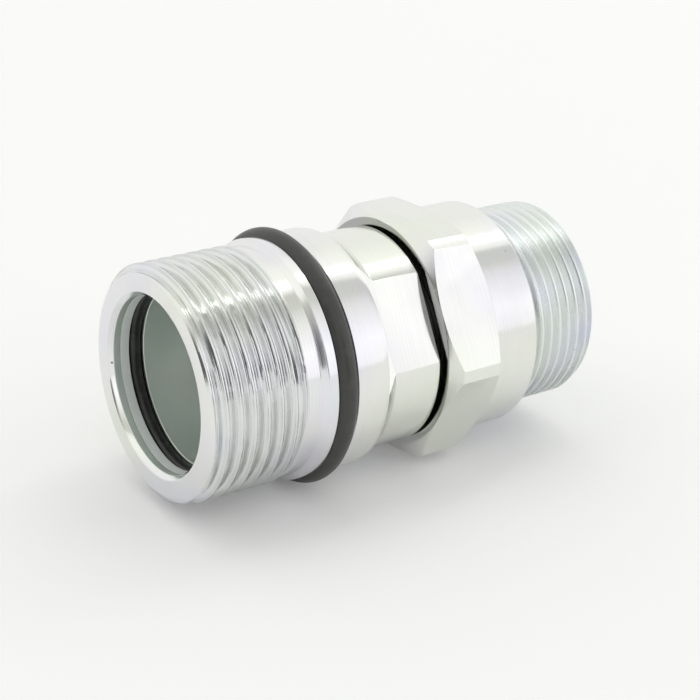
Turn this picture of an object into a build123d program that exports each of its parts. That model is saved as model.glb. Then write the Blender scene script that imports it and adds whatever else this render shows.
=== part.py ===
from build123d import *
import math
import os

# Body half of a screw-to-connect fluid coupling, in millimetres.
# The origin is the middle of the coupling's length, on its axis. +X runs from the
# socket's mouth to the pipe thread, and +Z points up with two of the hexagon's flats level.
# Places along the axis are worked out from the mouth and moved when a piece is saved.

# Front body, outside, from the mouth to the rear
front_thread_diameter = 48.0
front_chamfer_depth = 1.75
front_chamfer_length = 1.2
front_thread_end = 20.5
relief_diameter = 46.8
relief_length = 3.5
shoulder_length = 1.1
collar_diameter = 49.2
collar_front_land = 2.1
outer_groove_width = 4.4
collar_length = 6.1
collar_taper_length = 1.4
collar_edge_diameter = 48.5
collar_back_length = 2.6
spanner_section_diameter = 45.0
spanner_section_length = 10.8
spanner_flats_across = 41.0
spanner_flats_angle = 150.0
edge_break = 0.3

# Seal in the collar
outer_seal_section = 4.0
outer_seal_diameter = 52.3

# Socket, from the mouth inwards
socket_diameter = 35.7
mouth_chamfer_depth = 0.85
mouth_chamfer_length = 1.1
socket_land = 1.5
backup_ring_width = 2.0
socket_seal_section = 2.9
socket_groove_play = 0.15
socket_seal_squeeze = 0.2
socket_guide_length = 10.9
socket_relief_depth = 0.45
socket_relief_length = 6.5

# Valve seat and chamber
throat_diameter = 26.0
throat_length = 1.5
seat_angle = 45.0
chamber_diameter = 32.8
chamber_length = 7.6
spigot_bore_diameter = 34.1

# Rear adapter, outside, from the joint to the pipe thread's end
joint_ring_diameter = 46.6
joint_ring_thickness = 0.95
hexagon_face_diameter = 47.8
hexagon_across_flats = 48.0
hexagon_corner_diameter = 54.0
hexagon_length = 12.55
hexagon_chamfer_angle = 30.0
neck_diameter = 47.4
neck_length = 10.7
neck_chamfer = 0.8
pipe_relief_diameter = 38.6
pipe_relief_length = 2.6
pipe_thread_diameter = 41.91
pipe_thread_length = 14.7
pipe_thread_chamfer = 1.3

# Rear adapter, spigot and bore
spigot_flow_diameter = 27.2
spigot_flow_length = 24.0
pipe_bore_diameter = 30.0
pipe_mouth_chamfer = 1.0
spigot_nose_land = 1.6
spigot_seal_section = 1.9
spigot_backup_width = 1.2
spigot_groove_play = 0.15

# Valve
nose_reach = 6.0
nose_flat_diameter = 9.0
head_length = 2.5
poppet_seal_section = 2.54
poppet_groove_play = 0.1
clamp_washer_diameter = 26.8
clamp_washer_thickness = 1.8
clamp_nut_across_flats = 13.0
clamp_nut_height = 4.0
stem_thread_diameter = 8.0
stem_thread_tail = 0.8
stem_diameter = 7.0
stem_length = 20.8
valve_travel = 6.0

# Spring
spring_wire = 1.6
spring_mean_diameter = 19.6
spring_length = 15.5
spring_turns = 4.7
spring_closed_turns = 0.9
spring_closed_gap = 0.05
spring_points_per_turn = 10
spring_washer_bore = 16.4
spring_washer_diameter = 22.0
spring_washer_thickness = 1.0

# Valve guide
guide_ring_length = 2.5
guide_ring_wall = 1.7
guide_leg_count = 3
guide_leg_width = 3.2
guide_leg_height = 1.9
guide_web_thickness = 3.6
guide_hub_diameter = 12.4
guide_hub_length = 7.1
guide_bush_wall = 1.05

# Clearances between neighbours
seat_clearance = 0.1
running_clearance = 0.05
fitted_clearance = 0.05
throat_clearance = 0.3
leg_clearance = 0.3
spring_clearance = 0.05

# Places along the axis, worked out from the sizes above
collar_start = front_thread_end + relief_length + shoulder_length
outer_groove_start = collar_start + collar_front_land
outer_groove_end = outer_groove_start + outer_groove_width
collar_taper_start = outer_groove_end + collar_length
collar_edge = collar_taper_start + collar_taper_length
spanner_section_start = collar_edge + collar_back_length
joint_start = spanner_section_start + spanner_section_length
joint_end = joint_start + joint_ring_thickness
hexagon_end = joint_end + hexagon_length
neck_end = hexagon_end + neck_length
pipe_thread_start = neck_end + pipe_relief_length
rear_end = pipe_thread_start + pipe_thread_length

socket_groove_start = mouth_chamfer_length + socket_land
socket_seal_start = socket_groove_start + backup_ring_width + socket_groove_play
socket_groove_end = socket_seal_start + socket_seal_section + socket_groove_play
socket_guide_end = socket_groove_end + socket_guide_length
throat_start = socket_guide_end + socket_relief_length
throat_end = throat_start + throat_length
seat_slope = math.tan(math.radians(seat_angle))
seat_length = (chamber_diameter - throat_diameter) / 2 / seat_slope
seat_end = throat_end + seat_length
chamber_end = seat_end + chamber_length
spigot_start = chamber_end + guide_ring_length

# Radii shared by mating pieces
socket_radius = socket_diameter / 2
socket_seal_inner = socket_radius - socket_seal_squeeze
socket_groove_radius = socket_seal_inner + socket_seal_section + fitted_clearance
outer_seal_inner = outer_seal_diameter / 2 - outer_seal_section
outer_groove_radius = outer_seal_inner - fitted_clearance
spigot_radius = spigot_bore_diameter / 2 - fitted_clearance
spigot_groove_radius = spigot_radius - spigot_seal_section - fitted_clearance

# Places on the valve
head_end = throat_end + throat_clearance
head_start = head_end - head_length
nose_tip = throat_start - nose_reach
poppet_seal_radius = poppet_seal_section / 2
poppet_groove_end = head_end + poppet_seal_section + 2 * poppet_groove_play
poppet_seal_x = (head_end + poppet_groove_end) / 2
seat_normal = math.cos(math.radians(seat_angle))
poppet_seal_ring = (throat_diameter / 2 + (poppet_seal_x - throat_end) * seat_slope
                    - (poppet_seal_radius + seat_clearance) / seat_normal)
poppet_groove_radius = poppet_seal_ring - poppet_seal_radius - fitted_clearance
clamp_washer_end = poppet_groove_end + clamp_washer_thickness
clamp_nut_end = clamp_washer_end + clamp_nut_height
stem_thread_end = clamp_nut_end + stem_thread_tail
stem_end = stem_thread_end + stem_length
spring_start = clamp_washer_end + spring_clearance
spring_end = spring_start + spring_length
guide_seat = spring_end + spring_washer_thickness
guide_hub_end = guide_seat + guide_hub_length
bush_outer_radius = stem_diameter / 2 + running_clearance + guide_bush_wall
leg_outer_radius = spigot_flow_diameter / 2 - leg_clearance
leg_inner_radius = leg_outer_radius - guide_leg_height


def turned(points):
    """Solid of revolution about X from (place along the axis, radius) points."""
    outline = Polyline(*points, close=True)
    return revolve(make_face(outline), Axis.X, 360)


def ring(start, end, inner_radius, outer_radius):
    """Flat ring with a square section."""
    return turned([(start, inner_radius), (end, inner_radius), (end, outer_radius), (start, outer_radius)])


def cord_ring(centre, inner_radius, section):
    """Ring with a round section, inner radius and section diameter given."""
    section_face = Pos(centre, inner_radius + section / 2) * Circle(section / 2)
    return revolve(section_face, Axis.X, 360)


def hexagon_prism(start, end, across_flats):
    """Hexagon along the axis, with a flat facing down."""
    outline = Plane.YZ * RegularPolygon(across_flats / 2, 6, major_radius=False)
    return Pos(start, 0, 0) * extrude(outline, amount=end - start, dir=(1, 0, 0))


def milled(body, start, end, kept):
    """Turned body with all but the kept shape cut away between two places."""
    cutter = ring(start, end, 0, hexagon_corner_diameter)
    return body - (cutter - kept)


def front_body():
    """Turned body with the socket, the outer thread's cylinder, the collar and two spanner flats."""
    thread_radius = front_thread_diameter / 2
    collar_radius = collar_diameter / 2
    section_radius = spanner_section_diameter / 2
    outside = [
        (0, thread_radius - front_chamfer_depth),
        (front_chamfer_length, thread_radius),
        (front_thread_end, thread_radius),
        (front_thread_end + (front_thread_diameter - relief_diameter) / 2, relief_diameter / 2),
        (collar_start - shoulder_length, relief_diameter / 2),
        (collar_start, collar_radius),
        (outer_groove_start - edge_break, collar_radius),
        (outer_groove_start, collar_radius - edge_break),
        (outer_groove_start, outer_groove_radius),
        (outer_groove_end, outer_groove_radius),
        (outer_groove_end, collar_radius - edge_break),
        (outer_groove_end + edge_break, collar_radius),
        (collar_taper_start, collar_radius),
        (collar_edge, collar_edge_diameter / 2),
        (spanner_section_start, section_radius),
        (joint_start - edge_break, section_radius),
        (joint_start, section_radius - edge_break),
    ]
    inside = [
        (joint_start, spigot_bore_diameter / 2),
        (chamber_end, spigot_bore_diameter / 2),
        (chamber_end, chamber_diameter / 2),
        (seat_end, chamber_diameter / 2),
        (throat_end, throat_diameter / 2),
        (throat_start, throat_diameter / 2),
        (throat_start, socket_radius + socket_relief_depth),
        (socket_guide_end, socket_radius + socket_relief_depth),
        (socket_guide_end, socket_radius),
        (socket_groove_end, socket_radius),
        (socket_groove_end, socket_groove_radius),
        (socket_groove_start, socket_groove_radius),
        (socket_groove_start, socket_radius),
        (mouth_chamfer_length, socket_radius),
        (0, socket_radius + mouth_chamfer_depth),
    ]
    flats_length = joint_start - collar_edge
    slab = Box(flats_length, spanner_flats_across, 2 * collar_diameter)
    slab = Pos(collar_edge + flats_length / 2, 0, 0) * Rot(spanner_flats_angle, 0, 0) * slab
    return milled(turned(outside + inside), collar_edge, joint_start, slab)


def rear_adapter():
    """Turned adapter with the spigot, the milled hexagon, the neck and the pipe thread's cylinder."""
    corner_radius = hexagon_corner_diameter / 2
    chamfer_slope = math.tan(math.radians(hexagon_chamfer_angle))
    front_chamfer = (corner_radius - hexagon_face_diameter / 2) * chamfer_slope
    rear_chamfer = (corner_radius - neck_diameter / 2) * chamfer_slope
    thread_radius = pipe_thread_diameter / 2
    relief_radius = pipe_relief_diameter / 2
    seal_groove_start = spigot_start + spigot_nose_land
    seal_groove_end = seal_groove_start + spigot_backup_width + spigot_seal_section + 2 * spigot_groove_play
    flow_radius = spigot_flow_diameter / 2
    flow_end = spigot_start + spigot_flow_length
    bore_radius = pipe_bore_diameter / 2
    outline = [
        (spigot_start, flow_radius),
        (spigot_start, spigot_radius - edge_break),
        (spigot_start + edge_break, spigot_radius),
        (seal_groove_start, spigot_radius),
        (seal_groove_start, spigot_groove_radius),
        (seal_groove_end, spigot_groove_radius),
        (seal_groove_end, spigot_radius),
        (joint_end, spigot_radius),
        (joint_end, hexagon_face_diameter / 2),
        (joint_end + front_chamfer, corner_radius),
        (hexagon_end - rear_chamfer, corner_radius),
        (hexagon_end, neck_diameter / 2),
        (neck_end - neck_chamfer, neck_diameter / 2),
        (neck_end, neck_diameter / 2 - neck_chamfer),
        (neck_end, relief_radius),
        (pipe_thread_start - (thread_radius - relief_radius), relief_radius),
        (pipe_thread_start, thread_radius),
        (rear_end - pipe_thread_chamfer, thread_radius),
        (rear_end, thread_radius - pipe_thread_chamfer),
        (rear_end, bore_radius + pipe_mouth_chamfer),
        (rear_end - pipe_mouth_chamfer, bore_radius),
        (flow_end, bore_radius),
        (flow_end - (bore_radius - flow_radius), flow_radius),
    ]
    hexagon = hexagon_prism(joint_end, hexagon_end, hexagon_across_flats)
    return milled(turned(outline), joint_end, hexagon_end, hexagon)


def outer_seal_ring():
    """Round ring stretched into the collar's groove."""
    centre = (outer_groove_start + outer_groove_end) / 2
    return cord_ring(centre, outer_seal_inner, outer_seal_section)


def joint_ring():
    """Flat black ring pinched between the front body and the hexagon."""
    return ring(joint_start, joint_end, spigot_bore_diameter / 2, joint_ring_diameter / 2)


def socket_backup_ring():
    """Square ring that backs the socket's seal, flush with the socket wall."""
    outer_radius = socket_groove_radius - fitted_clearance
    return ring(socket_groove_start, socket_groove_start + backup_ring_width, socket_radius, outer_radius)


def socket_o_ring():
    """Round ring that seals on the other half's nose."""
    centre = socket_seal_start + socket_seal_section / 2
    return cord_ring(centre, socket_seal_inner, socket_seal_section)


def spigot_backup_ring():
    """Square ring in the spigot's groove, on the side away from the chamber."""
    start = spigot_start + spigot_nose_land + spigot_seal_section + 2 * spigot_groove_play
    inner_radius = spigot_groove_radius + fitted_clearance
    return ring(start, start + spigot_backup_width, inner_radius, spigot_radius)


def spigot_o_ring():
    """Round ring that seals the spigot in the front body."""
    centre = spigot_start + spigot_nose_land + spigot_groove_play + spigot_seal_section / 2
    return cord_ring(centre, spigot_groove_radius + fitted_clearance, spigot_seal_section)


def valve_poppet():
    """Domed nose, head, seal groove and stem, turned in one piece."""
    head_radius = throat_diameter / 2 - throat_clearance
    flat_radius = nose_flat_diameter / 2
    dome_middle = ((nose_tip + head_start) / 2 - nose_reach * 0.14, (flat_radius + head_radius) / 2 + 1.2)
    outline = [
        Line((nose_tip, 0), (nose_tip, flat_radius)),
        ThreePointArc((nose_tip, flat_radius), dome_middle, (head_start, head_radius)),
        Polyline(
            (head_start, head_radius),
            (head_end, head_radius),
            (head_end, poppet_groove_radius),
            (poppet_groove_end, poppet_groove_radius),
            (poppet_groove_end, stem_thread_diameter / 2),
            (stem_thread_end, stem_thread_diameter / 2),
            (stem_thread_end + 0.5, stem_diameter / 2),
            (stem_end - edge_break, stem_diameter / 2),
            (stem_end, stem_diameter / 2 - edge_break),
            (stem_end, 0),
            (nose_tip, 0),
        ),
    ]
    return revolve(make_face(outline), Axis.X, 360)


def poppet_o_ring():
    """Round ring on the head that closes on the conical seat."""
    return cord_ring(poppet_seal_x, poppet_seal_ring - poppet_seal_radius, poppet_seal_section)


def seal_clamp_washer():
    """Thick washer that holds the seal and carries the spring."""
    bore_radius = stem_thread_diameter / 2 + fitted_clearance
    return ring(poppet_groove_end, clamp_washer_end, bore_radius, clamp_washer_diameter / 2)


def seal_clamp_nut():
    """Thin hexagon nut on the stem's thread."""
    nut = hexagon_prism(clamp_washer_end, clamp_nut_end, clamp_nut_across_flats)
    return nut - ring(clamp_washer_end, clamp_nut_end, 0, stem_thread_diameter / 2 + fitted_clearance)


def valve_spring():
    """Compression spring whose end coils are closed down on their neighbours."""
    closed_pitch = spring_wire + spring_closed_gap
    open_turns = spring_turns - 2 * spring_closed_turns
    open_rise = spring_length - spring_wire - 2 * spring_closed_turns * closed_pitch
    first_coil = spring_start + spring_wire / 2
    mean_radius = spring_mean_diameter / 2
    points = []
    for number in range(round(spring_turns * spring_points_per_turn) + 1):
        turn = number / spring_points_per_turn
        share = min(max((turn - spring_closed_turns) / open_turns, 0), 1)
        eased = 0.65 * share + 0.35 * share * share * (3 - 2 * share)
        place = first_coil + (turn - share * open_turns) * closed_pitch + eased * open_rise
        angle = 2 * math.pi * turn
        points.append((place, mean_radius * math.cos(angle), mean_radius * math.sin(angle)))
    path = Spline(*points)
    return sweep(Plane(path @ 0, z_dir=path % 0) * Circle(spring_wire / 2), path=path, is_frenet=True)


def spring_seat_washer():
    """Hardened washer between the spring and the guide's legs."""
    return ring(spring_end, guide_seat, spring_washer_bore / 2, spring_washer_diameter / 2)


def valve_guide():
    """Ring clamped in the chamber, three legs that cage the spring, and the hub for the stem."""
    ring_radius = spigot_bore_diameter / 2 - fitted_clearance
    ring_inner = ring_radius - guide_ring_wall
    hub_radius = guide_hub_diameter / 2
    leg = [
        (chamber_end, ring_inner),
        (chamber_end, ring_inner + guide_ring_wall / 2),
        (spigot_start, ring_inner + guide_ring_wall / 2),
        (spigot_start, leg_outer_radius),
        (guide_seat + guide_web_thickness - guide_leg_height, leg_outer_radius),
        (guide_seat + guide_web_thickness, leg_outer_radius - guide_leg_height),
        (guide_hub_end - edge_break, hub_radius - edge_break),
        (guide_seat, hub_radius - edge_break),
        (guide_seat, leg_inner_radius),
        (spigot_start, leg_inner_radius),
    ]
    leg_face = make_face(Plane.XZ * Polyline(*leg, close=True))
    leg_solid = extrude(leg_face, amount=guide_leg_width / 2, both=True)
    guide = ring(chamber_end, spigot_start, ring_inner, ring_radius)
    guide += ring(guide_seat, guide_hub_end, 0, hub_radius)
    for number in range(guide_leg_count):
        guide += Rot(number * 360 / guide_leg_count, 0, 0) * leg_solid
    return guide - ring(guide_seat, guide_hub_end, 0, bush_outer_radius)


def guide_bush():
    """Plain bearing pressed into the hub."""
    bore_radius = stem_diameter / 2 + running_clearance
    return ring(guide_seat, guide_hub_end, bore_radius, bush_outer_radius)


pieces = {
    "front_body": front_body,
    "rear_adapter": rear_adapter,
    "outer_seal_ring": outer_seal_ring,
    "joint_ring": joint_ring,
    "socket_backup_ring": socket_backup_ring,
    "socket_o_ring": socket_o_ring,
    "spigot_backup_ring": spigot_backup_ring,
    "spigot_o_ring": spigot_o_ring,
    "valve_poppet": valve_poppet,
    "poppet_o_ring": poppet_o_ring,
    "seal_clamp_washer": seal_clamp_washer,
    "seal_clamp_nut": seal_clamp_nut,
    "valve_spring": valve_spring,
    "spring_seat_washer": spring_seat_washer,
    "valve_guide": valve_guide,
    "guide_bush": guide_bush,
}

os.makedirs("parts", exist_ok=True)
for name, build in pieces.items():
    export_step(Pos(-rear_end / 2, 0, 0) * build(), f"parts/{name}.step")
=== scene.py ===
import math

import bmesh
import bpy
from mathutils import Matrix, Vector


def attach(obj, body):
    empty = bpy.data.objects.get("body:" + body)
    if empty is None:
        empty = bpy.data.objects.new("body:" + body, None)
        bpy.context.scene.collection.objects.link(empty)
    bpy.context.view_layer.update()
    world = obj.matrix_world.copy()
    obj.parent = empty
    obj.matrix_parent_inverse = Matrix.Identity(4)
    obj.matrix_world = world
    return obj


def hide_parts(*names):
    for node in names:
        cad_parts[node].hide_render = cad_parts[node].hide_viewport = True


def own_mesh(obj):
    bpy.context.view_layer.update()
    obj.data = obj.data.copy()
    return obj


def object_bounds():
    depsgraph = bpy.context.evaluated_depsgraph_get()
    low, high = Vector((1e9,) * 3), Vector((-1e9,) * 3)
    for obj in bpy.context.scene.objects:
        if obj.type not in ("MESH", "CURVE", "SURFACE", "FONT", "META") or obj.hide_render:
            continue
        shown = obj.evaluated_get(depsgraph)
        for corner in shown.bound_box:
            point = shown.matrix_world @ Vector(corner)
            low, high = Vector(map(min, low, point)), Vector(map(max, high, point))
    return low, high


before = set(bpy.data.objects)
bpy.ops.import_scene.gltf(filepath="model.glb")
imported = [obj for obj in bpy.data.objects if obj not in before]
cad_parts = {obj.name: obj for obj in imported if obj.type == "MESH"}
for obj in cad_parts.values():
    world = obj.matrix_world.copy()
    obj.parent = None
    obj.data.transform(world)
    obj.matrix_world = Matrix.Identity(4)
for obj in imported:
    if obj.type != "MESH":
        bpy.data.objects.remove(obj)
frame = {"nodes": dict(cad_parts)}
cad_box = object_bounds()


# The view: the coupling lies with its mouth to the left and a little towards us,
# seen from above its axis through a long lens. The rows of the turn are the
# picture's right, its up, and the way back to the camera.
eye = Vector((-0.2146, -0.3075, 0.1669))
turn = Matrix((
    (0.82973, 0.20262, -0.52009),
    (-0.55700, 0.36070, -0.74809),
    (0.03602, 0.91041, 0.41215),
))
focal_pixels = 2000
picture_pixels = 700
camera = bpy.data.objects.new("camera", bpy.data.cameras.new("camera"))
bpy.context.scene.collection.objects.link(camera)
camera.matrix_world = Matrix.Translation(eye) @ turn.to_4x4()
camera.data.sensor_width = 36.0
camera.data.lens = focal_pixels / picture_pixels * camera.data.sensor_width
camera.data.clip_start = 0.01
bpy.context.scene.camera = camera


# Front body: bar steel turned on a lathe, with the socket bored in it and the collar's
# groove cut, two spanner flats milled across its back and an M48 x 3 thread cut on the
# front, then bright zinc plated. Places run from the mouth, in millimetres.
half_length = cad_box[1].x * 1000
body_segments = 256


def at(place, radius, angle):
    """A point of the coupling in metres, from its place on the axis, its radius and its angle."""
    return Vector((place - half_length, radius * math.cos(angle), radius * math.sin(angle))) / 1000


def softened(outline, edge):
    """Breaks the corners between the two ends of an outline with small flats, but no shallow bend."""
    shallow = math.radians(165)
    most = 0.4
    points = [Vector(point) for point in outline]
    made = [points[0]]
    for before, point, after in zip(points, points[1:], points[2:]):
        back = before - point
        on = after - point
        if back.angle(on) > shallow:
            made.append(point)
            continue
        step = min(edge, back.length * most, on.length * most)
        made.append(point + back.normalized() * step)
        made.append(point + on.normalized() * step)
    return made + [points[-1]]


def join_rings(work, first, second):
    """Skins the space between two rings of vertices."""
    for side, corner in enumerate(first):
        after = (side + 1) % len(first)
        work.faces.new((corner, first[after], second[after], second[side]))


def bend(first, pull, last, share):
    """Point of a curve that leaves one point towards a second and arrives at a third."""
    rest = 1 - share
    return first * rest ** 2 + pull * 2 * share * rest + last * share * share


def thread_profile(pitch, depth, crest_flat, root_flat, edge):
    """One thread as (share of the pitch, depth) points from root to root, its corners rounded."""
    root_corner = Vector((root_flat / 2, depth))
    crest_corner = Vector(((pitch - crest_flat) / 2, 0))
    flank = (crest_corner - root_corner).normalized()
    level = Vector((1, 0))
    half = [Vector((0, depth))]
    for corner, arrive, leave in ((root_corner, level, flank), (crest_corner, flank, level)):
        for share in (0, 0.5, 1):
            half.append(bend(corner - arrive * edge, corner, corner + leave * edge, share))
    half[4:4] = [half[3].lerp(half[4], share) for share in (0.33, 0.67)]
    half = [(point.x / pitch, point.y) for point in half]
    return half + [(0.5, 0)] + [(1 - share, down) for share, down in half[:0:-1]]


def wind(work, near, far, start, end, thread):
    """Skins a thread between two rings, with rows of vertices that climb with it."""
    segments = len(near)
    pitch = thread["pitch"]
    profile = thread["profile"]
    rows = len(profile)
    gap = 0.02
    columns = []
    for side in range(segments):
        column = {}
        for row in range(-2 * rows, math.ceil((end - start) / pitch + 1) * rows):
            share, depth = profile[row % rows]
            place = start + (row // rows + share + side / segments) * pitch
            if start + gap < place < end - gap:
                radius = thread["radius"](place, depth)
                column[row] = work.verts.new(at(place, radius, 2 * math.pi * side / segments))
        columns.append(column)
    columns.append({row - rows: vertex for row, vertex in columns[0].items()})
    for side in range(segments):
        left, right = columns[side], columns[side + 1]
        after = (side + 1) % segments
        shared = sorted(set(left) & set(right))
        for row in shared[:-1]:
            work.faces.new((left[row], right[row], right[row + 1], left[row + 1]))
        low, high = shared[0], shared[-1]
        foot = [near[side], near[after]] + [right[row] for row in sorted(right) if row <= low]
        work.faces.new(foot + [left[row] for row in sorted(left, reverse=True) if row <= low])
        head = [left[row] for row in sorted(left, reverse=True) if row >= high]
        head += [right[row] for row in sorted(right) if row >= high]
        work.faces.new(head + [far[after], far[side]])


def turned(outline, segments, closing="joined"):
    """Mesh turned from an outline, its ends joined, capped, or with a thread between them."""
    work = bmesh.new()
    angles = [2 * math.pi * side / segments for side in range(segments)]
    rings = []
    for place, radius in outline:
        rings.append([work.verts.new(at(place, radius, angle)) for angle in angles])
    for first, second in zip(rings, rings[1:]):
        join_rings(work, first, second)
    if closing == "joined":
        join_rings(work, rings[-1], rings[0])
    elif closing == "capped":
        work.faces.new(rings[0])
        work.faces.new(rings[-1])
    else:
        wind(work, rings[-1], rings[0], outline[-1][0], outline[0][0], closing)
    bmesh.ops.recalc_face_normals(work, faces=work.faces)
    return work


def as_object(work, name):
    """Turns mesh work into an object in the scene."""
    mesh = bpy.data.meshes.new(name)
    work.to_mesh(mesh)
    work.free()
    made = bpy.data.objects.new(name, mesh)
    bpy.context.scene.collection.objects.link(made)
    return made


def prism(outlines, start, end):
    """Closed mesh pushed along the axis from (across, up) outlines, a second outline being a hole."""
    work = bmesh.new()
    loops = []
    for outline in outlines:
        for place in (start, end):
            corners = [Vector((place - half_length, across, up)) / 1000 for across, up in outline]
            loops.append([work.verts.new(corner) for corner in corners])
    for near, far in zip(loops[::2], loops[1::2]):
        join_rings(work, near, far)
    if len(loops) == 2:
        work.faces.new(loops[0])
        work.faces.new(loops[1])
    else:
        join_rings(work, loops[0], loops[2])
        join_rings(work, loops[1], loops[3])
    bmesh.ops.recalc_face_normals(work, faces=work.faces)
    return work


def keep(body):
    """Keeps what a body's modifiers make as its own mesh."""
    graph = bpy.context.evaluated_depsgraph_get()
    made = bpy.data.meshes.new_from_object(body.evaluated_get(graph))
    made.materials.clear()
    body.modifiers.clear()
    old = body.data
    body.data = made
    bpy.data.meshes.remove(old)


def cut(body, work):
    """Cuts mesh work out of a body, and keeps the result as the body's own mesh."""
    tool = as_object(work, "tool")
    modifier = body.modifiers.new("cut", "BOOLEAN")
    modifier.operation = "DIFFERENCE"
    modifier.solver = "MANIFOLD"
    modifier.object = tool
    keep(body)
    bpy.data.objects.remove(tool)


def smooth(body, degrees):
    """Shades the curves smooth, with the flat faces true and the edges past an angle crisp."""
    body.data.shade_smooth()
    body.data.set_sharp_from_angle(angle=math.radians(degrees))
    modifier = body.modifiers.new("weighted", "WEIGHTED_NORMAL")
    modifier.keep_sharp = True
    modifier.weight = 100
    keep(body)


edge_break = 0.14
turned_crease = 28
face_radius = 22.0
front_thread_start = 22.25
front_thread_crest = 24.0
front_thread_depth = 1.75
front_thread_pitch = 3.0
front_chamfer_length = 1.2
run_out_start = 18.6
relief_start = 21.2
relief_end = 24.0
relief_radius = 23.3
collar_start = 25.1
collar_end = 37.7
collar_radius = 24.6
ring_groove_start = 27.2
ring_groove_end = 31.6
ring_groove_radius = 22.1
shoulder_place = 39.1
shoulder_radius = 24.25
spanner_start = 41.7
spanner_radius = 22.5
body_end = 52.5


def front_thread_radius(place, depth):
    """The thread, cut back by the chamfer at the mouth and run out at the relief."""
    rise = front_thread_crest - front_thread_start
    chamfer = front_thread_start + place / front_chamfer_length * rise
    left = max(relief_start - place, 0) / (relief_start - run_out_start)
    run_out = relief_radius - min(left, 1) * (relief_radius - front_thread_start)
    rear = relief_radius + max(relief_start - place, 0)
    return min(max(front_thread_crest - depth, run_out), chamfer, rear)


front_profile = thread_profile(
    front_thread_pitch, front_thread_depth, crest_flat=0.55, root_flat=0.4, edge=0.12
)
front_thread = {"pitch": front_thread_pitch, "profile": front_profile, "radius": front_thread_radius}
chamber_start = 37.7
chamber_radius = 17.05
valve_bore_radius = 16.4
seat_end = 30.1
seat_start = 26.7
throat_start = 25.2
throat_radius = 13.0
socket_end = 18.7
socket_relief_radius = 18.3
socket_radius = 17.85
socket_groove_start = 2.6
socket_groove_end = 7.8
socket_groove_radius = 20.7
mouth_chamfer_length = 1.1
mouth_radius = 18.7
front_outside = [
    (relief_start, relief_radius), (relief_end, relief_radius), (collar_start, collar_radius),
    (ring_groove_start, collar_radius), (ring_groove_start, ring_groove_radius),
    (ring_groove_end, ring_groove_radius), (ring_groove_end, collar_radius),
    (collar_end, collar_radius), (shoulder_place, shoulder_radius),
    (spanner_start, spanner_radius), (body_end, spanner_radius),
]
front_inside = [
    (body_end, chamber_radius), (chamber_start, chamber_radius),
    (chamber_start, valve_bore_radius), (seat_end, valve_bore_radius),
    (seat_start, throat_radius), (throat_start, throat_radius),
    (throat_start, socket_relief_radius), (socket_end, socket_relief_radius),
    (socket_end, socket_radius), (socket_groove_end, socket_radius),
    (socket_groove_end, socket_groove_radius), (socket_groove_start, socket_groove_radius),
    (socket_groove_start, socket_radius), (mouth_chamfer_length, socket_radius),
    (0.0, mouth_radius), (0.0, face_radius), (0.0, front_thread_start),
]
front_outline = softened(front_outside + front_inside, edge_break)
front_body = as_object(turned(front_outline, body_segments, front_thread), "front_body_turned")
flat_reach = 20.5
flat_angles = (150, 330)
cutter_reach = 40
cutter_width = 30
cutter_end = 53.4
for degrees in flat_angles:
    facing = Vector((math.cos(math.radians(degrees)), math.sin(math.radians(degrees))))
    level = Vector((-facing.y, facing.x)) * cutter_width
    low = facing * flat_reach
    high = facing * cutter_reach
    cutter = prism([[low - level, high - level, high + level, low + level]], shoulder_place, cutter_end)
    cut(front_body, cutter)
smooth(front_body, turned_crease)


# The shader sums behind every finish: a socket that adds, takes away and multiplies,
# so that a mask or a tint reads as plain arithmetic.
class Socket:
    def __init__(self, nodes, link):
        self.nodes = nodes
        self.link = link

    def combine(self, operation, first, second):
        settings = {"operation": operation}
        values = [value for value in (first, second) if isinstance(value, Socket)]
        if any(value.link.type in ("RGBA", "VECTOR") for value in values):
            return self.nodes.add("ShaderNodeVectorMath", settings, {0: first, 1: second}, "Vector")
        return self.nodes.add("ShaderNodeMath", settings, {0: first, 1: second})

    def __add__(self, other):
        return self.combine("ADD", self, other)

    def __radd__(self, other):
        return self.combine("ADD", other, self)

    def __sub__(self, other):
        return self.combine("SUBTRACT", self, other)

    def __rsub__(self, other):
        return self.combine("SUBTRACT", other, self)

    def __mul__(self, other):
        return self.combine("MULTIPLY", self, other)

    def __rmul__(self, other):
        return self.combine("MULTIPLY", other, self)

    def __abs__(self):
        return self.nodes.add("ShaderNodeMath", {"operation": "ABSOLUTE"}, {0: self})

    def between(self, low, high):
        """0 below the low value, 1 above the high one, and smooth between them."""
        settings = {"interpolation_type": "SMOOTHSTEP"}
        inputs = {"Value": self, "From Min": low, "From Max": high}
        return self.nodes.add("ShaderNodeMapRange", settings, inputs)


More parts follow.
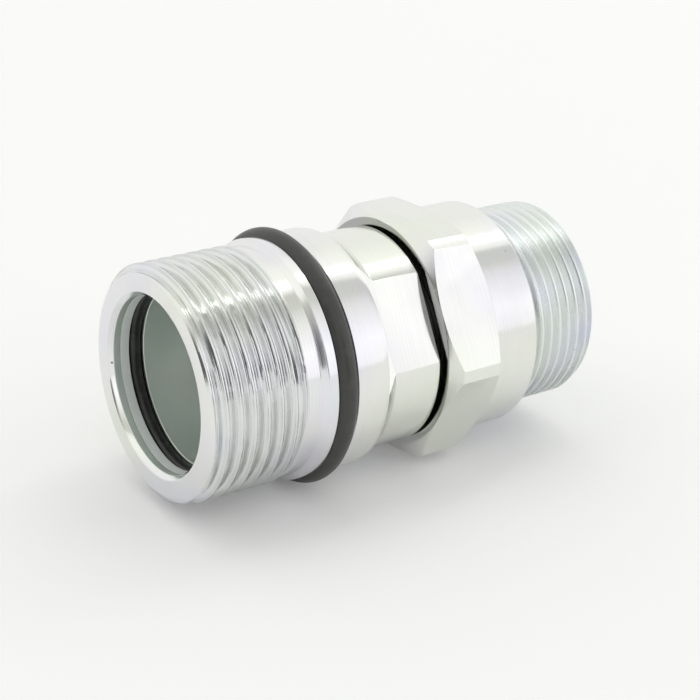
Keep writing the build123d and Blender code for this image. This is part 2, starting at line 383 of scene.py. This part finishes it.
class Nodes:
    def __init__(self, tree):
        self.tree = tree

    def add(self, kind, settings=None, inputs=None, output=0):
        """Adds a node, sets it up, then fills its sockets, and returns one of its outputs."""
        made = self.tree.nodes.new(kind)
        for key, value in (settings or {}).items():
            if key == "stops":
                elements = made.color_ramp.elements
                elements.remove(elements[1])
                elements[0].position = value[0][0]
                elements[0].color = (*value[0][1], 1)
                for place, colour in value[1:]:
                    elements.new(place).color = (*colour, 1)
            else:
                setattr(made, key, value)
        for key, value in (inputs or {}).items():
            self.feed(made.inputs[key], value)
        return Socket(self, made.outputs[output])

    def feed(self, target, value):
        """Links a socket or sets a plain value."""
        if isinstance(value, Socket):
            self.tree.links.new(value.link, target)
        elif target.type == "RGBA":
            target.default_value = (*value, 1)
        elif target.type == "VECTOR" and not hasattr(value, "__len__"):
            target.default_value = (value, value, value)
        else:
            target.default_value = value

    def noise(self, scale, detail, **inputs):
        """Soft noise from 0 to 1, along one number if W is given, or through space."""
        settings = {"noise_dimensions": "1D" if "W" in inputs else "3D"}
        return self.add("ShaderNodeTexNoise", settings, {"Scale": scale, "Detail": detail, **inputs})

    def mix(self, share, first, second):
        """Colour between two others."""
        return self.add("ShaderNodeMix", {"data_type": "RGBA"}, {0: share, 6: first, 7: second}, 2)

    def part(self, vector, axis):
        """One of a vector's three numbers."""
        return self.add("ShaderNodeSeparateXYZ", None, {0: vector}, axis)


class Finish(Nodes):
    def __init__(self, name):
        self.material = bpy.data.materials.new(name)
        self.material.use_nodes = True
        super().__init__(self.material.node_tree)
        self.shader = self.tree.nodes["Principled BSDF"]
        self.spot = self.add("ShaderNodeTexCoord", None, None, "Object")

    def split(self):
        """The place along the axis, and the distance out from it, in millimetres."""
        flat = self.spot * (0, 1, 1)
        out = self.add("ShaderNodeVectorMath", {"operation": "LENGTH"}, {0: flat}, "Value")
        return self.part(self.spot, 0) * 1000 + half_length, out * 1000

    def bump(self, height, depth):
        """Feeds the surface a height from 0 to 1, as deep as given in millimetres."""
        normal = self.add("ShaderNodeBump", None, {"Height": height, "Distance": depth / 1000})
        self.feed(self.shader.inputs["Normal"], normal)

    def set(self, **values):
        for key, value in values.items():
            self.feed(self.shader.inputs[key.replace("_", " ")], value)

    def dress(self, piece, body, node, slot):
        """Gives a piece this finish, and lets it ride on a body in place of its solid."""
        piece.data.materials.append(self.material)
        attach(piece, body)
        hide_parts(node)


tool_marks = 4
mark_depths = {"thread": 0.12, "turned": 0.006, "milled": 0.001}
film_colours = [
    (0.30, (0.87, 0.895, 0.82)),
    (0.42, (0.885, 0.895, 0.855)),
    (0.52, (0.885, 0.885, 0.885)),
    (0.62, (0.865, 0.86, 0.92)),
    (0.72, (0.82, 0.89, 0.89)),
]
untinted = (1, 1, 1)
thread_tint = (0.955, 0.965, 0.985)
rear_tint = (0.95, 0.98, 1.0)
# Painted shade: the bore's colour, darker and greener than the zinc outside.
bore_shade_colour = (0.8, 0.855, 0.815)

# Places and radii over which the finish changes, in millimetres. The last is a height, in metres.
thread_floor = (21.0, 21.4)
mouth_edge = (0.9, 1.2)
bore_wall = (18.6, 18.9)
back_edge = (93.0, 93.2)
pipe_end = (76.8, 77.2)
# The joint face's places, radius and height bound the painted shade that darkens the adapter's face.
joint_face_front = (52.9, 53.0)
joint_face_back = (53.5, 53.6)
joint_face_inner = (18.9, 19.2)
joint_face_shade_height = (-0.017, -0.008)


def zinc(name, marks, bored=False, thread=None):
    """Bright zinc with its faint rainbow film, over the marks that the lathe or the mill left."""
    finish = Finish(name)
    spot = finish.spot
    along, out = finish.split()
    ride = along if marks == "milled" else along + out
    fine = finish.noise(5.0, 3, W=ride)
    broad = finish.noise(0.9, 2, W=ride)
    cloud = finish.noise(55, 3, Vector=spot)
    film = finish.noise(38, 2, Vector=spot + (0.11, 0.05, 0.02))
    colour = finish.add("ShaderNodeValToRGB", {"stops": film_colours}, {0: film}, "Color")
    dull = cloud.between(0.52, 0.72)
    colour = colour * (1 - dull * 0.05 - (1 - fine.between(0.25, 0.5)) * 0.06)
    cells = finish.add("ShaderNodeTexVoronoi", None, {"Vector": spot, "Scale": 260}, "Distance")
    chosen = finish.add("ShaderNodeTexVoronoi", None, {"Vector": spot, "Scale": 260}, "Color")
    chance = finish.add("ShaderNodeSeparateColor", None, {0: chosen}, 0)
    specks = (1 - cells.between(0.05, 0.09)) * chance.between(0.93, 0.95)
    colour = colour * (1 - specks * 0.7)
    height = fine * 0.7 + broad * 0.3
    if thread:
        # The tool's own lines climb with the thread, a few to each turn.
        start, end, pitch = thread
        length = along.between(start, start + 0.1) * (1 - along.between(end - 0.1, end))
        threaded = length * out.between(*thread_floor)
        colour = colour * finish.mix(threaded, untinted, thread_tint)
        across, up = finish.part(spot, 1), finish.part(spot, 2)
        angle = finish.add("ShaderNodeMath", {"operation": "ARCTAN2"}, {0: up, 1: across})
        turns = along * (1 / pitch) - angle * (0.5 / math.pi)
        share = finish.add("ShaderNodeMath", {"operation": "FRACT"}, {0: turns * tool_marks})
        wear = finish.noise(150, 2, Vector=spot).between(0.3, 0.6)
        line = (1 - abs(share - 0.5).between(0.05, 0.4)) * threaded * (0.35 + wear * 0.65)
        colour = colour * (1 - line * 0.16)
        height = height * 0.12 - line
    sheen = 0.09 + dull * 0.06 + broad * 0.06 + specks * 0.3
    if bored:
        # The bore's film is duller, and its colour is painted darker and greener as shade; the pipe
        # thread's end is softer; and the adapter's joint face is darkened by half as painted shade.
        rear = along.between(*pipe_end)
        colour = colour * finish.mix(rear, untinted, rear_tint)
        bore = along.between(*mouth_edge) * (1 - out.between(*bore_wall))
        bore = bore * (1 - along.between(*back_edge))
        # Painted shade: the bore's wall takes the darker, greener colour; its higher roughness is the
        # duller film.
        colour = finish.mix(bore, colour, bore_shade_colour)
        # Painted shade: the adapter's joint face is darkened by half from 8 mm below the axis upwards,
        # fading out by 17 mm below it.
        face = along.between(*joint_face_front) * (1 - along.between(*joint_face_back))
        face = face * out.between(*joint_face_inner) * finish.part(spot, 2).between(*joint_face_shade_height)
        colour = colour * (1 - face * 0.5)
        sheen = sheen + bore * 0.4 + rear * 0.14
    finish.set(Base_Color=colour, Metallic=1.0, Roughness=sheen)
    finish.bump(height, mark_depths[marks])
    return finish


milled_zinc = zinc("plated_steel_milled", "milled")
front_zinc = zinc("plated_steel_front", "thread", bored=True, thread=(0.6, 20.5, front_thread_pitch))
front_zinc.dress(front_body, "coupling_body", "front_body", "plated_steel")


def paint_flats(body, directions, reach):
    """Gives the milled finish to the faces that lie square to a direction at a reach from the axis."""
    mesh = body.data
    mesh.materials.append(milled_zinc.material)
    for face in mesh.polygons:
        for direction in directions:
            level = face.normal.dot(direction) > 0.9999
            if level and abs(face.center.dot(direction) - reach / 1000) < 1e-5:
                face.material_index = 1
                face.use_smooth = False
                for loop in face.loop_indices:
                    mesh.edges[mesh.loops[loop].edge_index].use_edge_sharp = True


def squares(angles):
    """Directions square to the axis at some angles in degrees."""
    turns = [math.radians(angle) for angle in angles]
    return [Vector((0, math.cos(angle), math.sin(angle))) for angle in turns]


paint_flats(front_body, squares(flat_angles), flat_reach)


# Rear adapter: a second piece turned from hexagon bar, which screws into the front body's
# back, with the larger spanner flats, a plain neck and a G 1 1/4 pipe thread, plated too.
spigot_start = 40.2
spigot_radius = 17.0
spigot_chamfer = 0.3
spigot_groove_start = 41.8
spigot_groove_end = 45.2
spigot_groove_radius = 15.05
flow_radius = 13.6
joint_end = 53.45
joint_edge_radius = 23.9
hexagon_reach = 24.0
hexagon_start = 55.24
hexagon_end = 64.09
hexagon_corner = 27.0
neck_start = 66.0
neck_end = 76.7
neck_radius = 23.7
neck_chamfer = 0.8
step_start = 62.8
step_end = 64.2
rear_bore_radius = 15.0
rear_chamfer = 1.0
pipe_thread_start = 77.65
pipe_thread_lead = 0.15
pipe_thread_pitch = 25.4 / 11
pipe_thread_relief = 19.3
pipe_thread_crest = 20.955
pipe_thread_depth = 1.45
pipe_end_radius = 19.655
full_length = 94.0


def pipe_thread_radius(place, depth):
    """The pipe thread, chamfered at both ends."""
    start = pipe_thread_relief + place - pipe_thread_start
    end = pipe_end_radius + full_length - place
    return min(max(pipe_thread_crest - depth, pipe_thread_relief), start, end)


pipe_profile = thread_profile(
    pipe_thread_pitch, pipe_thread_depth, crest_flat=0.5, root_flat=0.5, edge=0.24
)
pipe_thread = {"pitch": pipe_thread_pitch, "profile": pipe_profile, "radius": pipe_thread_radius}
rear_inside = [
    (full_length, pipe_end_radius), (full_length, rear_bore_radius + rear_chamfer),
    (full_length - rear_chamfer, rear_bore_radius), (step_end, rear_bore_radius),
    (step_start, flow_radius), (spigot_start, flow_radius),
]
rear_outside = [
    (spigot_start, spigot_radius - spigot_chamfer), (spigot_start + spigot_chamfer, spigot_radius),
    (spigot_groove_start, spigot_radius), (spigot_groove_start, spigot_groove_radius),
    (spigot_groove_end, spigot_groove_radius), (spigot_groove_end, spigot_radius),
    (joint_end, spigot_radius), (joint_end, joint_edge_radius),
    (hexagon_start, hexagon_corner), (hexagon_end, hexagon_corner),
    (neck_start, neck_radius), (neck_end - neck_chamfer, neck_radius),
    (neck_end, neck_radius - neck_chamfer), (neck_end, pipe_thread_relief),
    (pipe_thread_start - pipe_thread_lead, pipe_thread_relief), (pipe_thread_start, pipe_thread_relief),
]


def hexagon(across_flats):
    """Corners of a hexagon with two flats level."""
    reach = across_flats / math.sqrt(3)
    turns = [math.radians(60 * corner) for corner in range(6)]
    return [(reach * math.cos(angle), reach * math.sin(angle)) for angle in turns]


rear_outline = softened(rear_inside + rear_outside, edge_break)
rear_adapter = as_object(turned(rear_outline, body_segments, pipe_thread), "rear_adapter_turned")
hexagon_cut_start = 53.0
hexagon_cut_end = 66.5
hexagon_bar = [hexagon(2 * hexagon_reach), hexagon(120)]
cut(rear_adapter, prism(hexagon_bar, hexagon_cut_start, hexagon_cut_end))
smooth(rear_adapter, turned_crease)
rear_zinc = zinc("plated_steel_rear", "turned", bored=True)
rear_zinc.dress(rear_adapter, "coupling_body", "rear_adapter", "plated_steel")
paint_flats(rear_adapter, squares(range(30, 390, 60)), hexagon_reach)


# Outer seal: a round nitrile ring stretched into the collar's groove, matt and dark grey,
# with the fine seam of its mould along one shoulder.
outer_seal_place = 29.3
outer_seal_middle = 24.15
outer_seal_section = 4.0
seam_depth = 0.14
seam_angle = math.radians(48)
seam_width = math.radians(5)
soft_crease = 60
dust_colour = (0.12, 0.12, 0.115)


def cord_outline(centre, middle, section, steps, seam=0.0):
    """Round section of a seal as (place, radius) points, with a mould seam in its shoulder."""
    outline = []
    for step in range(steps):
        angle = 2 * math.pi * step / steps
        reach = section / 2 - seam * math.exp(-((angle - seam_angle) / seam_width) ** 2)
        outline.append((centre + reach * math.cos(angle), middle + reach * math.sin(angle)))
    return outline


def rubber(name, colour, roughness):
    """Moulded rubber, a little dusty, with a fine skin."""
    finish = Finish(name)
    dust = finish.noise(420, 3, Vector=finish.spot).between(0.5, 0.75)
    skin = finish.noise(2600, 2, Vector=finish.spot)
    finish.set(Base_Color=finish.mix(dust * 0.2, colour, dust_colour), Roughness=roughness + dust * 0.12)
    finish.bump(skin, 0.01)
    return finish


grey_rubber = rubber("rubber_grey", (0.05, 0.05, 0.047), 0.36)
black_rubber = rubber("rubber_black", (0.012, 0.012, 0.012), 0.3)
outer_seal_outline = cord_outline(
    outer_seal_place, outer_seal_middle, outer_seal_section, steps=72, seam=seam_depth
)
outer_seal = as_object(turned(outer_seal_outline, body_segments), "outer_seal")
smooth(outer_seal, soft_crease)
grey_rubber.dress(outer_seal, "coupling_body", "outer_seal_ring", "rubber_grey")


# Joint ring: a flat nitrile ring pinched between the front body and the adapter. It lies
# deeper than the spanner flats, so from outside it is only a black line.
joint_ring_radius = 20.2


def flat_ring(start, end, inner, outer, edge):
    """Outline of a flat ring with broken corners, opened in the middle of its rim."""
    middle = (start + end) / 2
    corners = [(start, outer), (start, inner), (end, inner), (end, outer)]
    return softened([(middle - 0.1, outer), *corners, (middle + 0.1, outer)], edge)


joint_outline = flat_ring(body_end, joint_end, chamber_radius, joint_ring_radius, edge=0.1)
joint_ring = as_object(turned(joint_outline, body_segments), "joint_ring_flat")
smooth(joint_ring, soft_crease)
black_rubber.dress(joint_ring, "coupling_body", "joint_ring", "rubber_black")


# Socket seal: a black nitrile O-ring in the mouth's groove, with a pale plastic backup ring
# in front of it that keeps the pressure from pushing it out.
ring_segments = 192
seal_steps = 32
socket_seal_place = 6.2
socket_seal_middle = 19.1
socket_seal_section = 2.9
backup_start = 2.62
backup_end = 4.6
backup_radius = 20.55
socket_seal_outline = cord_outline(socket_seal_place, socket_seal_middle, socket_seal_section, seal_steps)
socket_o_ring = as_object(turned(socket_seal_outline, ring_segments), "socket_seal")
smooth(socket_o_ring, soft_crease)
black_rubber.dress(socket_o_ring, "coupling_body", "socket_o_ring", "rubber_black")

waxy = Finish("backup_white")
cloudy = waxy.noise(300, 3, Vector=waxy.spot)
waxy_colour = waxy.mix(cloudy, (0.86, 0.89, 0.88), (0.72, 0.75, 0.74))
waxy.set(Base_Color=waxy_colour, Roughness=0.3 + cloudy * 0.15)
waxy.bump(waxy.noise(1500, 2, Vector=waxy.spot), 0.008)
backup_outline = flat_ring(backup_start, backup_end, socket_radius, backup_radius, edge=0.12)
backup_ring = as_object(turned(backup_outline, ring_segments), "socket_backup")
smooth(backup_ring, soft_crease)
waxy.dress(backup_ring, "coupling_body", "socket_backup_ring", "backup_white")


# Spigot seal: a small O-ring and its backup ring round the adapter's nose, hidden inside
# the front body. They keep the shape of their solids.
nodes = frame["nodes"]


def carry(name, finish):
    """Leaves a piece as its solid is, in a finish of its own."""
    nodes[name].data.materials.clear()
    nodes[name].data.materials.append(finish.material)


carry("spigot_o_ring", black_rubber)
carry("spigot_backup_ring", waxy)


# Valve poppet: domed nose, head, seal groove and stem turned in one piece from steel bar
# and zinc plated. It slides, with all that is clamped on it.
nose_tip = 19.2
nose_flat = 4.5
dome_middle = (21.01, 9.8)
head_start = 24.5
head_radius = 12.7
head_end = 27.0
seal_groove_radius = 11.41
seal_groove_end = 29.74
stem_thread_radius = 4.0
stem_thread_end = 36.34
stem_radius = 3.5
stem_end = 57.14
stem_chamfer = 0.3


def bowed(first, middle, last, steps):
    """Points of a curve through three others."""
    first, middle, last = Vector(first), Vector(middle), Vector(last)
    pull = middle * 2 - (first + last) / 2
    return [bend(first, pull, last, step / steps) for step in range(steps + 1)]


dome = bowed((nose_tip, nose_flat), dome_middle, (head_start, head_radius), 24)
poppet_outline = dome + [
    (head_end, head_radius), (head_end, seal_groove_radius), (seal_groove_end, seal_groove_radius),
    (seal_groove_end, stem_thread_radius), (stem_thread_end, stem_thread_radius),
    (stem_thread_end + stem_thread_radius - stem_radius, stem_radius),
    (stem_end - stem_chamfer, stem_radius), (stem_end, stem_radius - stem_chamfer),
]
turned_zinc = zinc("plated_steel_turned", "turned")
poppet = as_object(turned(softened(poppet_outline, edge=0.12), ring_segments, "capped"), "poppet_turned")
smooth(poppet, turned_crease)
turned_zinc.dress(poppet, "valve", "valve_poppet", "plated_steel")


# Poppet seal: the O-ring that meets the seat, held in its groove by a thick steel washer
# and a hexagon nut on the stem's thread. The spring bears on the washer.
poppet_seal_place = 28.37
poppet_seal_middle = 12.73
poppet_seal_section = 2.54
poppet_seal_outline = cord_outline(poppet_seal_place, poppet_seal_middle, poppet_seal_section, seal_steps)
poppet_o_ring = as_object(turned(poppet_seal_outline, ring_segments), "poppet_seal")
smooth(poppet_o_ring, soft_crease)
black_rubber.dress(poppet_o_ring, "valve", "poppet_o_ring", "rubber_black")

clamp_washer_end = 31.54
clamp_nut_end = 35.54
clamp_bore = 4.05
clamp_washer_radius = 13.4
clamp_nut_across = 13.0
clamp_nut_corner = 7.4
nut_cut_start = 31.0
nut_cut_end = 36.0
washer_outline = flat_ring(seal_groove_end, clamp_washer_end, clamp_bore, clamp_washer_radius, edge=0.12)
clamp_washer = as_object(turned(washer_outline, ring_segments), "clamp_washer")
smooth(clamp_washer, turned_crease)
turned_zinc.dress(clamp_washer, "valve", "seal_clamp_washer", "plated_steel")

nut_outline = flat_ring(clamp_washer_end, clamp_nut_end, clamp_bore, clamp_nut_corner, edge=0.5)
nut_bar = [hexagon(clamp_nut_across), hexagon(30.0)]
clamp_nut = as_object(turned(nut_outline, 96), "clamp_nut")
cut(clamp_nut, prism(nut_bar, nut_cut_start, nut_cut_end))
smooth(clamp_nut, turned_crease)
turned_zinc.dress(clamp_nut, "valve", "seal_clamp_nut", "plated_steel")


# Valve spring: drawn steel wire coiled cold on a mandrel, its end coils closed down on
# their neighbours. It stands on its seat washer, and shortens as the valve is pushed in.
spring_start = 31.59
spring_length = 15.5
wire_radius = 0.8
coil_radius = 9.8
coil_turns = 4.7
closed_turns = 0.9
closed_pitch = 1.65
points_per_turn = 40
wire_sides = 16
open_turns = coil_turns - 2 * closed_turns
open_rise = spring_length - 2 * wire_radius - 2 * closed_turns * closed_pitch


def coil_point(turn):
    """Middle of the wire after so many turns, in millimetres."""
    share = min(max((turn - closed_turns) / open_turns, 0), 1)
    eased = 0.65 * share + 0.35 * share * share * (3 - 2 * share)
    place = spring_start + wire_radius + (turn - share * open_turns) * closed_pitch + eased * open_rise
    return at(place, coil_radius, 2 * math.pi * turn)


coil = bmesh.new()
coil_rings = []
for number in range(round(coil_turns * points_per_turn) + 1):
    turn_done = number / points_per_turn
    middle = coil_point(turn_done)
    ahead = (coil_point(turn_done + 0.001) - coil_point(turn_done - 0.001)).normalized()
    outward = Vector((0, middle.y, middle.z)).normalized()
    sideways = ahead.cross(outward).normalized()
    coil_rings.append([])
    for side in range(wire_sides):
        angle = 2 * math.pi * side / wire_sides
        offset = (outward * math.cos(angle) + sideways * math.sin(angle)) * wire_radius / 1000
        coil_rings[-1].append(coil.verts.new(middle + offset))
for first_ring, second_ring in zip(coil_rings, coil_rings[1:]):
    join_rings(coil, first_ring, second_ring)
coil.faces.new(coil_rings[0])
coil.faces.new(coil_rings[-1])
bmesh.ops.recalc_face_normals(coil, faces=coil.faces)
spring = as_object(coil, "spring_coil")
smooth(spring, soft_crease)

drawn = Finish("spring_steel")
oiled = drawn.noise(240, 3, Vector=drawn.spot)
drawn_colour = drawn.mix(oiled, (0.5, 0.5, 0.49), (0.36, 0.35, 0.33))
drawn.set(Base_Color=drawn_colour, Metallic=1.0, Roughness=0.24 + oiled * 0.2)
drawn.bump(drawn.noise(2400, 2, Vector=drawn.spot), 0.006)
drawn.dress(spring, "coupling_body", "valve_spring", "spring_steel")
spring_end = spring_start + spring_length
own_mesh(spring)


# Spring seat: a hardened steel washer, punched and ground flat, that lies between the
# spring and the guide's legs.
seat_thickness = 1.0
seat_inner = 8.2
seat_outer = 11.0
seat_outline = flat_ring(spring_end, spring_end + seat_thickness, seat_inner, seat_outer, edge=0.1)
seat_washer = as_object(turned(seat_outline, ring_segments), "seat_washer")
smooth(seat_washer, turned_crease)
drawn.dress(seat_washer, "coupling_body", "spring_seat_washer", "spring_steel")


# Valve guide: a ring, three legs and a hub in one piece of plated steel, clamped in the
# chamber, with a plain bronze bush pressed in its hub. Both keep the shape of their solids.
bronze = Finish("bush_bronze")
tarnish = bronze.noise(260, 3, Vector=bronze.spot)
bronze_colour = bronze.mix(tarnish, (0.62, 0.44, 0.24), (0.46, 0.31, 0.18))
bronze.set(Base_Color=bronze_colour, Metallic=1.0, Roughness=0.3 + tarnish * 0.25)
bronze.bump(bronze.noise(1800, 2, Vector=bronze.spot), 0.008)
carry("valve_guide", milled_zinc)
carry("guide_bush", bronze)


# The studio: a white floor under the seal and a pale tent round it, with a dark door to the
# front left, which draws the lines of the threads, and a long soft lamp overhead. The
# camera sees the tent as white.
scene = bpy.context.scene
scene.view_settings.view_transform = "Standard"
floor_reach = 3
floor_mesh = bmesh.new()
corners = [(1, 1), (-1, 1), (-1, -1), (1, -1)]
low = cad_box[0].z
floor_mesh.faces.new([floor_mesh.verts.new((x * floor_reach, y * floor_reach, low)) for x, y in corners])
floor = as_object(floor_mesh, "floor")
floor_finish = Finish("floor")
camera_ray = floor_finish.add("ShaderNodeLightPath", None, None, "Is Camera Ray")
glossy_ray = floor_finish.add("ShaderNodeLightPath", None, None, "Is Glossy Ray")
glow = camera_ray * 0.1 + glossy_ray * 0.03
glow_colour = floor_finish.add("ShaderNodeCombineColor", None, {0: glow, 1: glow, 2: glow}, "Color")
floor_colour = (0.93, 0.93, 0.93)
floor_finish.set(Base_Color=floor_colour, Roughness=1.0)
floor_finish.set(Emission_Color=glow_colour, Emission_Strength=1.0)
floor.data.materials.append(floor_finish.material)

world = bpy.data.worlds.new("tent")
scene.world = world
world.use_nodes = True
tent = Nodes(world.node_tree)
heading = tent.add("ShaderNodeTexCoord", None, None, "Generated")
right = tent.part(heading, 0)
back = tent.part(heading, 1)
above = tent.part(heading, 2)
around = tent.add("ShaderNodeMath", {"operation": "ARCTAN2"}, {0: above, 1: back})

# The tent's colours by the angle from behind the coupling, over its top, to in front of it.
walls = [
    (0, (0.9, 0.905, 0.88)), (45, (0.93, 0.935, 0.9)), (70, (1.04, 1.05, 1.0)),
    (91, (1.02, 1.03, 0.99)), (95, (0.64, 0.65, 0.61)), (110, (0.68, 0.69, 0.66)),
    (119, (0.84, 0.84, 0.83)), (137, (1.0, 1.0, 1.0)), (155, (1.14, 1.14, 1.14)),
    (180, (1.04, 1.04, 1.05)),
]
stops = [(degrees / 180, colour) for degrees, colour in walls]
wall = tent.add("ShaderNodeValToRGB", {"stops": stops}, {0: around * (1 / math.pi)}, "Color")

# The door, and the bright strip that stands in it.
strip_place = -0.7
strip = 1 - abs(right - strip_place).between(0.1, 0.17)
opening = (1 - right.between(0.02, 0.2)) * (1 - above.between(0.25, 0.75))
opening = opening * (1 - back.between(0.0, 0.4))
inside = tent.mix(opening * (1 - strip), wall, (0.1, 0.1, 0.1))
seen = tent.add("ShaderNodeLightPath", None, None, "Is Camera Ray")
surround = tent.mix(seen, inside, (1.0, 1.0, 1.0))
tent.feed(world.node_tree.nodes["Background"].inputs["Color"], surround)

lamp_place = Vector((0.5, 0.11, 0.82))
lamp_data = bpy.data.lights.new("overhead", "AREA")
lamp_data.shape = "RECTANGLE"
lamp_data.size = 0.1
lamp_data.size_y = 1.3
lamp_data.energy = 0.62
lamp = bpy.data.objects.new("overhead", lamp_data)
scene.collection.objects.link(lamp)
lamp.location = lamp_place
lamp.rotation_mode = "QUATERNION"
lamp.rotation_quaternion = (-lamp_place).to_track_quat("-Z", "Y")
